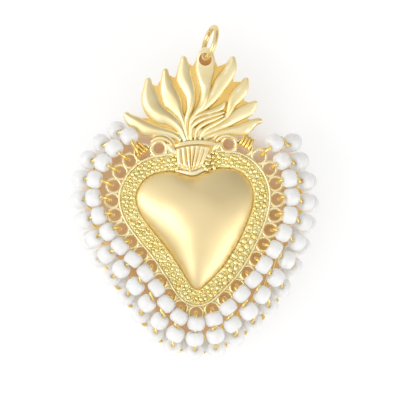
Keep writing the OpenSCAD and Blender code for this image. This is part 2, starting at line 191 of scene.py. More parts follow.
def crown_point(p, y):
    return np.array([CROWN_AT[0] + p[0], y, CROWN_AT[1] + p[1]])


def even(line, count):
    """Points at even steps along a closed line."""
    loop = np.vstack([line, line[:1]])
    run = run_along(loop)
    at = np.linspace(0, run[-1], count, endpoint=False)
    return np.stack([np.interp(at, run, loop[:, i]) for i in (0, 1)], axis=1)


def run_along(line):
    return np.concatenate([[0], np.cumsum(np.linalg.norm(np.diff(line, axis=0), axis=1))])


def eased(line, reach):
    """A closed even line with its bends eased over a reach."""
    length = np.linalg.norm(np.roll(line, -1, axis=0) - line, axis=1).sum()
    waves = 2 * math.pi * np.fft.fftfreq(len(line), 1 / len(line)) / length
    keep = np.exp(-0.5 * (waves * reach) ** 2)
    return np.real(np.fft.ifft(np.fft.fft(line, axis=0) * keep[:, None], axis=0))


dome_line = closed_curve(DOME_POINTS, DOME_STEPS)
even_line = even(closed_curve(DOME_POINTS, EDGE_STEPS), EDGE_COUNT)
fine_line = eased(even_line, EDGE_EASE)
fine_normals = outward(fine_line)
core_line = eased(even_line, CORE_EASE)

# Rows outside the dome: granulation, rim wire and stitch holes
GRAIN_OUT = SEAM + GRAIN_W
RIM_OUT = GRAIN_OUT + SEAM + RIM_WIRE_D / 2
HOLE_ROW = RIM_OUT + HOLE_OUT
BORDER_FROM, BORDER_TO = 107, 432.5
PLATE_FROM, PLATE_TO = 103, 440
hole_line = [
    p for p in dome_line + HOLE_ROW * outward(dome_line) if PLATE_FROM < angle_of(p) < PLATE_TO
]
HOLE_TABLE = [(angle_of(p), np.linalg.norm(p)) for p in hole_line]


def hole_r(a):
    return lookup(a, HOLE_TABLE)


def on_ray(a, r, y):
    return heart_point(r * turned(a), y)


# Places of the stitches, as the part's source lays them out
WRAP_LEFT, WRAP_RIGHT = 130, 414
FREE_LEFT, FREE_RIGHT = 118.5, 424.5
LAST_LOOP = 402
WRAP_PITCH = WIRE_D + WRAP_GAP
WRAP_HOLE_D = (WRAP_TURNS + 1) * WRAP_PITCH
WRAP_EDGE = WRAP_HOLE_D / 2 + EYELET_WALL + WIRE_D / 2 + WRAP_GAP
WRAP_CLEAR = WRAP_EDGE + WIRE_D + BEAD_LEN / 2
# How far outside its hole the first bead of a stitch stands, by angle
BEAD_ROW = [
    (130, 3.4), (150, 3.4), (165, 3.3), (180, 2.6), (190, 2.3), (205, 2), (220, 1.4), (240, 1.3), (257, 1.6),
    (275, 1.6), (290, 1.4), (320, 1.5), (340, 2.1), (352, 2.5), (365, 2.4), (390, 2.5), (402, 2.6),
]
# How far the stitch rolls over the edge, as a share, by angle
BEAD_ROLL = [
    (130, 0.9), (165, 0.8), (180, 0.65), (200, 0.4), (220, 0), (320, 0), (340, 0.35), (360, 0.6), (402, 0.75),
]
ROLL_MOST = 26
ROLL_LEAST_TURN = 0.4
NORMAL_SPAN = 20
# The outer beads spread over a shorter arc than the inner ones
FAN_FROM, FAN_TO, FAN_REACH = 134, 396, 3.5
BEAD_PLUMP = 0.35
BEAD_ROUND = mix(BEAD_D / 2, math.hypot(BEAD_D, BEAD_LEN) / 2, BEAD_PLUMP)
BEAD_LIP = math.sqrt(BEAD_ROUND ** 2 - BEAD_LEN ** 2 / 4)
EDGE_TURN = 58
REAR_LEAN = 30
REAR_TURN = 85
REAR_MOST_ROLL = 0.5
REAR_REACH = 2 * BEAD_ROUND + BEAD_GAP
FRONT_BEAD_Y = PLATE_Y - BEAD_GAP - BEAD_D / 2


def row_at(a, out):
    return (hole_r(a) + lookup(a, BEAD_ROW) + out) * turned(a)


def row_gap(a, out):
    return np.linalg.norm(row_at(a + 1, out) - row_at(a, out))


def row_normal(a, out):
    d = row_at(a + NORMAL_SPAN, out) - row_at(a - NORMAL_SPAN, out)
    return unit(np.array([d[1], -d[0]]))


def row_table(start, stop, out):
    table, s = [], 0.0
    for a in range(start, stop + 1):
        table.append((s, a))
        s += row_gap(a, out)
    return table


row_needs = (BEAD_LOOPS - 1) * (BEAD_D + BEAD_GAP)
row_plain = sum(row_gap(a, 0) for a in range(WRAP_LEFT, LAST_LOOP))
ROW_EASE = max(0, row_needs - row_plain) / math.radians(LAST_LOOP - WRAP_LEFT)
FAN_OUT = ROW_EASE + FAN_REACH
inner_table = row_table(WRAP_LEFT, LAST_LOOP, ROW_EASE)
fan_table = row_table(FAN_FROM, FAN_TO, FAN_OUT)


def share_of(table, k):
    return lookup(k / (BEAD_LOOPS - 1) * table[-1][0], table)


LOOP_ANGLES = [share_of(inner_table, k) for k in range(BEAD_LOOPS)]


def bead_reach(c):
    """How far a bead reaches from its middle along a way that has this cosine to its axis."""
    if c * BEAD_ROUND > BEAD_LEN / 2:
        return c * BEAD_LEN / 2 + math.sqrt(1 - c * c) * BEAD_LIP
    return BEAD_ROUND


def tilted(p, dip):
    """A way in the heart's plan that dips towards the back by an angle."""
    c, s = turned(dip)
    return np.array([p[0] * c, s, p[1] * c])


def next_bead(bead, towards, axis):
    """The bead that lies against another one, towards a way."""
    reach = bead_reach(abs(bead[1] @ towards)) + bead_reach(abs(axis @ towards)) + BEAD_GAP
    return bead[0] + reach * towards, axis


def stitch(k):
    """Three beads of a stitch from the front over the edge as (middle, axis), its normal and its last dip."""
    a = LOOP_ANGLES[k]
    ends = k in (0, BEAD_LOOPS - 1)
    push = max(0, WRAP_CLEAR - lookup(a, BEAD_ROW) - ROW_EASE) if ends else 0
    share = lookup(a, BEAD_ROLL)
    roll = share * ROLL_MOST
    outer = roll + mix(ROLL_LEAST_TURN, 1, share) * BEAD_DIP
    edge = outer + EDGE_TURN
    inner = row_at(a, ROW_EASE + push)
    fan = unit(row_at(share_of(fan_table, k), FAN_OUT) - inner)
    normal = row_normal(a, ROW_EASE)
    first = (heart_point(inner, FRONT_BEAD_Y), tilted(normal, roll))
    second = next_bead(first, tilted(fan, (roll + outer) / 2), tilted(normal, outer))
    third = next_bead(second, tilted(fan, (outer + edge) / 2), tilted(normal, edge))
    return [first, second, third], normal, edge


stitches = [stitch(k) for k in range(BEAD_LOOPS)]


def rear_bead(k):
    """A fourth bead behind the edge, in the dip between two stitches."""
    beads, normal, edge = stitches[k]
    half = (stitches[k + 1][0][2][0] - beads[2][0]) / 2
    lean = tilted(normal, edge + REAR_LEAN)
    back = unit(lean - (lean @ half) / (half @ half) * half)
    away = math.sqrt(max(0, REAR_REACH ** 2 - half @ half))
    return beads[2][0] + half + away * back, tilted(normal, edge + REAR_TURN)


def loop_beads(k):
    behind = lookup(LOOP_ANGLES[k], BEAD_ROLL) < REAR_MOST_ROLL
    return stitches[k][0] + ([rear_bead(k)] if behind else [])


# Route of the binding wire: straight legs through holes and beads, joined by smooth bends
BEAD_LEG = BEAD_LEN / 2 + WIRE_D / 5
PLATE_LEG = PLATE_T / 2 + WIRE_D / 3
STITCH_IN = 0.15
STITCH_OUT = 0.28
NEAR_ROW, FAR_ROW = 1.6, 2.4
BACK_LEG, BACK_LEG_OUT = 0.5, 1.9
BEND_STEPS = 9
BEND_PULL = 0.85
BEND_MOST = 4


def beside(a, t):
    """A step sideways from a ray."""
    c, s = turned(a)
    return t * np.array([-s, 0, c])


def hole_leg(a, t, inward):
    """Leg of the wire up through a hole, as (middle, way, half length)."""
    return on_ray(a, hole_r(a) - inward, PLATE_MID_Y) + beside(a, t), np.array([0, -1.0, 0]), PLATE_LEG


def back_leg(a):
    """Leg behind the plate, from the edge back to the next hole."""
    c, s = turned(a)
    y = BACK_Y + EYELET_LIP + WIRE_D / 2 + WRAP_GAP
    return on_ray(a, hole_r(a) + BACK_LEG_OUT, y), np.array([-c, 0, -s]), BACK_LEG


def stitch_in(a):
    """How far inside its hole's middle the wire comes up: outside it where the beads stand well off."""
    return lookup(lookup(a, BEAD_ROW), [(NEAR_ROW, STITCH_IN), (FAR_ROW, -STITCH_OUT)])


def edge_leg(a, t):
    """Leg down over the plate's edge, at a wrap."""
    return on_ray(a, hole_r(a) + WRAP_EDGE, PLATE_MID_Y) + beside(a, t), np.array([0, 1.0, 0]), PLATE_LEG


def strand(j):
    """Place of a wrap's turn beside its ray."""
    return (j - WRAP_TURNS / 2) * WRAP_PITCH


def wire_legs():
    legs = []
    for j in range(WRAP_TURNS):
        legs += [hole_leg(WRAP_LEFT, strand(j), 0), edge_leg(WRAP_LEFT, strand(j + 0.5))]
    for k in range(BEAD_LOOPS):
        a = LOOP_ANGLES[k]
        if k == 0:
            legs.append(hole_leg(WRAP_LEFT, strand(WRAP_TURNS), 0))
        else:
            legs += [back_leg(a), hole_leg(a, 0, stitch_in(a))]
        legs += [(middle, axis, BEAD_LEG) for middle, axis in loop_beads(k)]
    for j in range(WRAP_TURNS + 1):
        legs += [hole_leg(WRAP_RIGHT, strand(j), 0), edge_leg(WRAP_RIGHT, strand(j + 0.5))]
    return legs


def wire_route():
    """Points of the wire: its legs, with a smooth bend from the end of each to the start of the next."""
    legs = wire_legs()
    route = []
    for i, (middle, along, half) in enumerate(legs):
        start, end = middle - along * half, middle + along * half
        route += [start, middle, end]
        if i == len(legs) - 1:
            break
        to_middle, to_along, to_half = legs[i + 1]
        goal = to_middle - to_along * to_half
        pull = min(BEND_MOST, BEND_PULL * np.linalg.norm(goal - end))
        for j in range(1, BEND_STEPS + 1):
            t = j / (BEND_STEPS + 1)
            route.append(
                (2 * t ** 3 - 3 * t ** 2 + 1) * end + (t ** 3 - 2 * t ** 2 + t) * pull * along
                + (3 * t ** 2 - 2 * t ** 3) * goal + (t ** 3 - t ** 2) * pull * to_along
            )
    return np.array(route)


# Edges that bend by more than SHARP degrees stay sharp, and points closer than MERGE become one
SHARP = 55
MERGE = 0.0005
# A way that no tube starts along, from which its first ring takes its turn
TUBE_SIDE = np.array([0.3, 0.2, 0.9])


class Shape:
    """Points and faces of one piece, gathered from lofts and tubes."""

    def __init__(self):
        self.points = []
        self.faces = []

    def loft(self, rings, path_closed=False):
        """A skin over closed rings, whose ends are capped or, on a closed path, joined."""
        base = len(self.points)
        n, m = len(rings[0]), len(rings)
        for ring in rings:
            self.points.extend(ring)
        for i in range(m if path_closed else m - 1):
            for k in range(n):
                a, b = base + i * n + k, base + i * n + (k + 1) % n
                up = base + (i + 1) % m * n
                self.faces.append((a, b, up + (k + 1) % n, up + k))
        if not path_closed:
            self.faces.append(tuple(base + k for k in range(n)))
            self.faces.append(tuple(base + (m - 1) * n + k for k in range(n)))
        return self

    def tube(self, route, radius, sides):
        """A round tube along a route, whose rings turn as little as they can."""
        route = np.asarray(route, float)
        ahead = np.gradient(route, axis=0)
        ahead = ahead / np.linalg.norm(ahead, axis=1, keepdims=True)
        v = TUBE_SIDE
        rings = []
        for p, t in zip(route, ahead):
            v = unit(v - (v @ t) * t)
            w = np.cross(t, v)
            rings.append([p + radius * (math.cos(a) * v + math.sin(a) * w) for a in round_turns(sides)])
        return self.loft(rings)

    def add(self, points, faces):
        base = len(self.points)
        self.points.extend(points)
        self.faces.extend(tuple(base + i for i in face) for face in faces)
        return self

    def piece(self, name, finish, slot, body="pendant", stands_for=()):
        """Make the Blender object, which rides on a body and may stand for CAD nodes."""
        mesh = bpy.data.meshes.new(name)
        mesh.from_pydata((np.array(self.points) * MM).tolist(), [], self.faces)
        work = bmesh.new()
        work.from_mesh(mesh)
        bmesh.ops.remove_doubles(work, verts=work.verts, dist=MERGE * MM)
        bmesh.ops.recalc_face_normals(work, faces=work.faces)
        for face in work.faces:
            face.smooth = True
        work.to_mesh(mesh)
        work.free()
        mesh.set_sharp_from_angle(angle=math.radians(SHARP))
        mesh.materials.append(finish)
        obj = bpy.data.objects.new(name, mesh)
        scene.collection.objects.link(obj)
        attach(obj, body)
        if stands_for:
            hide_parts(*stands_for)
        return obj


class Flow:
    """A socket's value; sums and products of flows add Math nodes."""

    def __init__(self, nodes, socket):
        self.nodes = nodes
        self.socket = socket

    def math(self, operation, a, b):
        return self.nodes.node("ShaderNodeMath", {"operation": operation}, {0: a, 1: b})

    def __add__(self, other):
        return self.math("ADD", self, other)

    def __radd__(self, other):
        return self.math("ADD", other, self)

    def __sub__(self, other):
        return self.math("SUBTRACT", self, other)

    def __rsub__(self, other):
        return self.math("SUBTRACT", other, self)

    def __mul__(self, other):
        return self.math("MULTIPLY", self, other)

    def __rmul__(self, other):
        return self.math("MULTIPLY", other, self)


class Nodes:
    """One node tree, built a node at a time."""

    def __init__(self, tree):
        self.tree = tree
        tree.nodes.clear()

    def node(self, kind, settings=None, inputs=None, output=0):
        """Add a node with its settings and its sockets' values or links; returns the flow of one output."""
        made = self.tree.nodes.new(kind)
        for key, value in (settings or {}).items():
            setattr(made, key, value)
        for key, value in (inputs or {}).items():
            named = [s for s in made.inputs if s.identifier == key]
            socket = named[0] if named else made.inputs[key]
            if isinstance(value, Flow):
                self.tree.links.new(value.socket, socket)
            else:
                socket.default_value = value
        if not made.outputs:
            return None
        named = [s for s in made.outputs if s.identifier == output]
        return Flow(self, named[0] if named else made.outputs[output])

    def noise(self, place, size, detail):
        return self.node(
            "ShaderNodeTexNoise", {}, {"Vector": place, "Scale": 1 / (size * MM), "Detail": detail}
        )

    def range(self, value, low, high, to_low=0.0, to_high=1.0):
        return self.node(
            "ShaderNodeMapRange", {"interpolation_type": "SMOOTHSTEP"},
            {"Value": value, "From Min": low, "From Max": high, "To Min": to_low, "To Max": to_high},
        )

    def blend(self, share, a, b):
        return self.node(
            "ShaderNodeMix", {"data_type": "RGBA"},
            {"Factor_Float": share, "A_Color": a, "B_Color": b}, "Result_Color",
        )


def new_material(name):
    material = bpy.data.materials.new(name)
    material.use_nodes = True
    return material, Nodes(material.node_tree)


# Noise between these values turns one tone into the other
TONE_SPAN = (0.3, 0.7)
CLOUD_DETAIL, FINE_DETAIL = 3.0, 2.0
# Bend of the surface at which the paler tone of a ridge and the painted shade of a recess come in
RIDGE_TONE_SPAN = (0.5, 0.56)
PAINTED_SHADE_SPAN = (0.43, 0.495)
GRIT_BUMP = 0.35


def gold(
    name, deep, pale, rough, rough_spread=0.06, cloud=5.0, grit=0.12, dent=0.004, ridge_tone=None, painted_recess_shade=None
):
    """Plated brass: cloudy tone and fine grit, a paler tone on ridges, and a painted shade, a deeper tone, in
    recesses.
    """
    material, nodes = new_material(name)
    place = nodes.node("ShaderNodeTexCoord", output="Object")
    clouds = nodes.noise(place, cloud, CLOUD_DETAIL)
    fine = nodes.noise(place, grit, FINE_DETAIL)
    colour = nodes.blend(nodes.range(clouds, *TONE_SPAN), (*deep, 1), (*pale, 1))
    if ridge_tone:
        bend = nodes.node("ShaderNodeNewGeometry", output="Pointiness")
        # A paler tone on ridges, where the surface bends outward
        colour = nodes.blend(nodes.range(bend, *RIDGE_TONE_SPAN), colour, (*ridge_tone, 1))
        # Painted shade: a deeper orange tone in recesses, for the shade and gold reflections that fall there
        colour = nodes.blend(nodes.range(bend, *PAINTED_SHADE_SPAN, 1, 0), colour, (*painted_recess_shade, 1))
    bump = nodes.node(
        "ShaderNodeBump", {}, {"Strength": GRIT_BUMP, "Distance": dent * MM, "Height": fine}
    )
    shader = nodes.node(
        "ShaderNodeBsdfPrincipled", {},
        {"Base Color": colour, "Metallic": 1.0, "Normal": bump,
         "Roughness": rough + rough_spread * (clouds + fine - 1.0)},
    )
    nodes.node("ShaderNodeOutputMaterial", {}, {"Surface": shader})
    return material


GLASS_CREAM, GLASS_PALE = (0.905, 0.895, 0.865, 1), (0.935, 0.928, 0.905, 1)
GLASS_CLOUD, GLASS_SKIN = 2.5, 0.5
GLASS_BUMP, GLASS_DENT = 0.2, 0.02
GLASS_ROUGH, GLASS_ROUGH_SPREAD = 0.26, 0.1
GLASS_IOR = 1.5
MILK_TINT, MILK_DEPTH = (1, 0.97, 0.93), 4.0


def glass_white(name):
    """Opaque white glass: milky, with faint cloudy tone and a smooth fire-polished skin."""
    material, nodes = new_material(name)
    place = nodes.node("ShaderNodeTexCoord", output="Object")
    clouds = nodes.noise(place, GLASS_CLOUD, FINE_DETAIL)
    skin = nodes.noise(place, GLASS_SKIN, FINE_DETAIL)
    colour = nodes.blend(nodes.range(clouds, *TONE_SPAN), GLASS_CREAM, GLASS_PALE)
    bump = nodes.node(
        "ShaderNodeBump", {}, {"Strength": GLASS_BUMP, "Distance": GLASS_DENT * MM, "Height": skin}
    )
    shader = nodes.node(
        "ShaderNodeBsdfPrincipled", {},
        {"Base Color": colour, "Roughness": GLASS_ROUGH + GLASS_ROUGH_SPREAD * skin, "Normal": bump,
         "IOR": GLASS_IOR, "Subsurface Weight": 1.0, "Subsurface Radius": MILK_TINT,
         "Subsurface Scale": MILK_DEPTH * MM},
    )
    nodes.node("ShaderNodeOutputMaterial", {}, {"Surface": shader})
    return material


ring_gold = gold("ring_gold", deep=(0.8, 0.6, 0.25), pale=(0.88, 0.69, 0.34), rough=0.24)
plate_gold = gold("plate_gold", deep=(0.91, 0.69, 0.28), pale=(0.94, 0.76, 0.38), rough=0.34)
# Backing gold: its deeper orange tone is a painted shade, for the shade and reflections between the flames
shaded_backing_gold = gold(
    "shaded_backing_gold", deep=(0.85, 0.56, 0.16), pale=(0.9, 0.64, 0.24), rough=0.42, rough_spread=0.08
)
polished_gold = gold(
    "polished_gold", deep=(0.875, 0.705, 0.38), pale=(0.9, 0.735, 0.41), rough=0.4, rough_spread=0.03,
    cloud=9.0, dent=0.001,
)
rim_gold = gold("rim_gold", deep=(0.95, 0.82, 0.48), pale=(0.975, 0.88, 0.58), rough=0.24)
grain_gold = gold("grain_gold", deep=(0.95, 0.8, 0.34), pale=(0.985, 0.9, 0.52), rough=0.26, cloud=1.2)
# Satin gold: a paler tone on ridges, and a painted shade in its recesses
satin_gold = gold(
    "satin_gold", deep=(0.9, 0.735, 0.38), pale=(0.945, 0.825, 0.51), rough=0.4, rough_spread=0.08,
    grit=0.15, dent=0.006, ridge_tone=(0.98, 0.915, 0.68), painted_recess_shade=(0.84, 0.57, 0.17),
)
wire_gold = gold("wire_gold", deep=(0.92, 0.66, 0.2), pale=(0.96, 0.74, 0.29), rough=0.2, cloud=2.0)
white_bead = glass_white("white_bead")


# The ring's wire ends meet in a fine split
RING_SPLIT, RING_SPLIT_AT = math.radians(1.2), math.radians(150)
RING_STEPS, RING_SIDES = 120, 24


def add_jump_ring():
    lean_c, lean_s = math.cos(RING_LEAN), math.sin(RING_LEAN)
    turn_c, turn_s = math.cos(RING_TURN), math.sin(RING_TURN)
    route = []
    for i in range(RING_STEPS + 1):
        a = RING_SPLIT_AT + RING_SPLIT + (2 * math.pi - 2 * RING_SPLIT) * i / RING_STEPS
        y, z = RING_MID * math.sin(a), -RING_MID * math.cos(a)
        x, y = -y * turn_s, y * turn_c
        route.append((x * lean_c + z * lean_s, y, -x * lean_s + z * lean_c))
    Shape().tube(route, RING_SHOW_D / 2, RING_SIDES).piece(
        "jump_ring_wire", ring_gold, "ring_gold", body="ring", stands_for=["jump_ring"]
    )


# Dome: the powers of its section, the number of its rings, of which its inside has every fourth, the
# first ring's share of the way out, and the share at which the core's outline starts to turn into the edge
DOME_FLAT, DOME_STEEP = 2.3, 0.8
DOME_RINGS, DOME_INNER_STEP = 40, 4
DOME_FIRST = 0.03
DOME_CORE = 0.5


def dome_rise(s):
    """Share of the dome's height at a share of the way out from its middle."""
    return (1 - s ** DOME_FLAT) ** DOME_STEEP


def add_dome():
    """A hollow shell, whose rings go from an even core to the heart's own edge."""
    shares = [math.sin(math.pi / 2 * i / DOME_RINGS) for i in range(1, DOME_RINGS + 1)]
    shares[0] = DOME_FIRST

    def ring(s, inset, rise):
        edge = fine_line - inset * fine_normals
        line = s * mix(core_line, edge, smooth_step(s, DOME_CORE, 1))
        return [heart_point(p, PLATE_Y - rise * dome_rise(s)) for p in line]

    inner_shares = shares[DOME_INNER_STEP - 1::DOME_INNER_STEP]
    inner = [ring(s, DOME_WALL, DOME_H - DOME_WALL) for s in inner_shares]
    outer = [ring(s, 0, DOME_H) for s in reversed(shares)]
    Shape().loft(inner + outer).piece(
        "polished_dome", polished_gold, "polished_gold", stands_for=["heart_dome"]
    )


def border_samples():
    rim = fine_line + RIM_OUT * fine_normals
    return [i for i, p in enumerate(rim) if BORDER_FROM < angle_of(p) < BORDER_TO]


samples = border_samples()


def border_rings(section):
    """A section as (way out, height), carried along the border from its left end to its right end."""
    return [
        [heart_point(fine_line[i] + out * fine_normals[i], PLATE_Y - rise) for out, rise in section]
        for i in samples
    ]


def ball(rings, sides):
    """A unit ball's points and faces."""
    points = [np.array([0, 0, 1.0])]
    for i in range(1, rings):
        a = math.pi * i / rings
        for k in range(sides):
            b = 2 * math.pi * (k + 0.5 * (i % 2)) / sides
            points.append(np.array([math.sin(a) * math.cos(b), math.sin(a) * math.sin(b), math.cos(a)]))
    points.append(np.array([0, 0, -1.0]))
    faces = [(0, 1 + k, 1 + (k + 1) % sides) for k in range(sides)]
    for i in range(rings - 2):
        a, b = 1 + i * sides, 1 + (i + 1) * sides
        for k in range(sides):
            j = (k + 1) % sides
            faces.append((a + k, b + k, b + j, a + j))
    last = len(points) - 1
    faces += [(last, last - sides + (k + 1) % sides, last - sides + k) for k in range(sides)]
    return np.array(points), faces


BALL_RINGS, BALL_SIDES = 7, 10
BALL_POINTS, BALL_FACES = ball(BALL_RINGS, BALL_SIDES)
# Passes that fill the border with grains, as (least size, most size, tries)
GRAIN_PASSES = [(0.76, 0.98, 4000), (0.56, 0.72, 8000), (0.36, 0.5, 14000)]
GRAIN_SEED = 7
GRAIN_CLOSE = 0.42
GRAIN_LONG = (1.0, 1.2)
# Room that a grain's middle keeps to the border's ends, and to its sides as a share of the grain's size
GRAIN_END, GRAIN_IN, GRAIN_RIM = 0.3, 1 / 3, 0.4
# Grains of the size GRAIN_BIG and more have the full height, smaller ones a share of it from GRAIN_LOW up
GRAIN_BIG, GRAIN_LOW, GRAIN_HEIGHTS = 0.9, 0.62, (0.9, 1.06)
GRAIN_SEAT = 0.4
# Ground under the grains, from the dome to the rim, as (way out, height)
GRAIN_FLOOR = 0.24
GRAIN_GROUND = [
    (-SEAM, 0), (-SEAM, GRAIN_FLOOR), (0.15 * GRAIN_W, GRAIN_FLOOR), (0.85 * GRAIN_W, GRAIN_FLOOR),
    (GRAIN_OUT, 0.7 * GRAIN_FLOOR), (GRAIN_OUT, 0),
]
# Stretch at the lower right where the grains are coarser
COARSE_FROM, COARSE_TO, COARSE = 292, 350, 1.3
# Ground beside the fan that is grained too: left, right, low and high edge of each patch
FAN_PATCHES = [(-4.3, -3.3, -4.3, -1.95), (1.2, 3.4, -4.2, -1.15)]
PATCH_TRIES, PATCH_FIRST, PATCH_LAST = 900, 0.85, 0.45
PATCH_SIZES, PATCH_HEIGHTS = (0.9, 1.1), (0.86, 1.06)
PATCH_CLEAR_LEFT, PATCH_CLEAR_RIGHT = 0.1, 0.15
# Right edge of the crown's stem by z, which carries some of these grains, and their height there
STEM_EDGE = [(-3.5, 2.0), (-0.8, 2.7)]
STEM_GRAIN_H = 0.45


def add_grain(shape, draw, middle, size, ground, high):
    """One melted grain, a leaning flattened ball that sinks into its ground."""
    long = draw.uniform(*GRAIN_LONG)
    u = turned(draw.uniform(0, 180))
    v = np.array([-u[1], u[0]])
    seat = high * GRAIN_SEAT / GRAIN_H
    placed = []
    for p in BALL_POINTS:
        q = middle + size / 2 * (p[0] * long * u + p[1] / long * v)
        placed.append(heart_point(q, ground - seat - (high - seat) * p[2]))
    shape.add(placed, BALL_FACES)


def add_grains():
    draw = random.Random(GRAIN_SEED)
    shape = Shape()
    shape.loft(border_rings(GRAIN_GROUND))
    line, normals = fine_line[samples], fine_normals[samples]
    run = run_along(line)
    middles, sizes = np.zeros((0, 2)), np.zeros(0)
    tries = [(least, most) for least, most, count in GRAIN_PASSES for k in range(count)]
    for least, most in tries:
        s = draw.uniform(GRAIN_END, run[-1] - GRAIN_END)
        size = draw.uniform(least, most)
        out = draw.uniform(GRAIN_IN * size, GRAIN_OUT - GRAIN_RIM * size)
        i = int(np.searchsorted(run, s)) - 1
        t = (s - run[i]) / (run[i + 1] - run[i])
        middle = mix(line[i] + out * normals[i], line[i + 1] + out * normals[i + 1], t)
        if COARSE_FROM < angle_of(middle) < COARSE_TO:
            size *= COARSE
        if np.all(np.linalg.norm(middles - middle, axis=1) > GRAIN_CLOSE * (sizes + size)):
            middles, sizes = np.vstack([middles, middle]), np.append(sizes, size)
            high = GRAIN_H * mix(GRAIN_LOW, 1, min(1, size / GRAIN_BIG)) * draw.uniform(*GRAIN_HEIGHTS)
            add_grain(shape, draw, middle, size, PLATE_Y, high)
    shift = CROWN_AT - HEART_AT
    for left, right, low, high in FAN_PATCHES:
        for k in range(PATCH_TRIES):
            place = np.array([draw.uniform(left, right), draw.uniform(low, high)])
            middle = place + shift
            size = mix(PATCH_FIRST, PATCH_LAST, k / PATCH_TRIES) * draw.uniform(*PATCH_SIZES)
            fan_left = FAN_LEFT[0] - PATCH_CLEAR_LEFT
            fan_right = lookup(place[1], FAN_RIGHT_EDGE) + PATCH_CLEAR_RIGHT
            in_fan = fan_left < place[0] < fan_right
            close = np.any(np.linalg.norm(middles - middle, axis=1) < GRAIN_CLOSE * (sizes + size))
            if in_fan or close:
                continue
            middles, sizes = np.vstack([middles, middle]), np.append(sizes, size)
            over_stem = 0 < place[0] < lookup(place[1], STEM_EDGE)
            ground, top = (FRONT_Y, STEM_GRAIN_H) if over_stem else (PLATE_Y, GRAIN_H)
            add_grain(shape, draw, middle, size, ground, top * draw.uniform(*PATCH_HEIGHTS))
    shape.piece("granulation", grain_gold, "grain_gold", stands_for=["grain_border"])


RIM_SIDES = 14


def add_rim_wire():
    r = RIM_WIRE_D / 2
    section = [(RIM_OUT + r * math.cos(a), r + r * math.sin(a)) for a in round_turns(RIM_SIDES)]
    Shape().loft(border_rings(section)).piece(
        "smooth_rim", rim_gold, "polished_gold", stands_for=["rim_wire"]
    )


def plate_holes():
    holes = [(LOOP_ANGLES[k], HOLE_D) for k in range(1, BEAD_LOOPS)]
    return holes + [(WRAP_LEFT, WRAP_HOLE_D), (WRAP_RIGHT, WRAP_HOLE_D)]


FREE_RING_W, FREE_RING_H = 0.78, 0.5
LIP_STEPS, LIP_SIDES = 40, 10
LIP_NARROW, LIP_SINK = 0.98, 0.02


def raised_ring(shape, a, d, wide, high):
    """Rounded rings round a hole, on the front and on the back of the plate."""
    middle = on_ray(a, hole_r(a), 0)
    mid_r = d / 2 + wide / 2
    for y, up in ((PLATE_Y, -1), (BACK_Y, 1)):
        rings = []
        for i in range(LIP_STEPS):
            out = turned(360 * i / LIP_STEPS)
            ring = []
            for b in half_turns(LIP_SIDES):
                r = mid_r + LIP_NARROW * wide / 2 * math.cos(b)
                rise = up * (high * math.sin(b) - LIP_SINK)
                ring.append(np.array([middle[0] + r * out[0], y + rise, middle[2] + r * out[1]]))
            rings.append(ring)
        shape.loft(rings, path_closed=True)


def add_eyelets():
    shape = Shape()
    for a, d in plate_holes():
        raised_ring(shape, a, d, EYELET_WALL, EYELET_LIP)
    for a in (FREE_LEFT, FREE_RIGHT):
        raised_ring(shape, a, HOLE_D, FREE_RING_W, FREE_RING_H)
    shape.piece("eyelet_lips", rim_gold, "plate_gold")


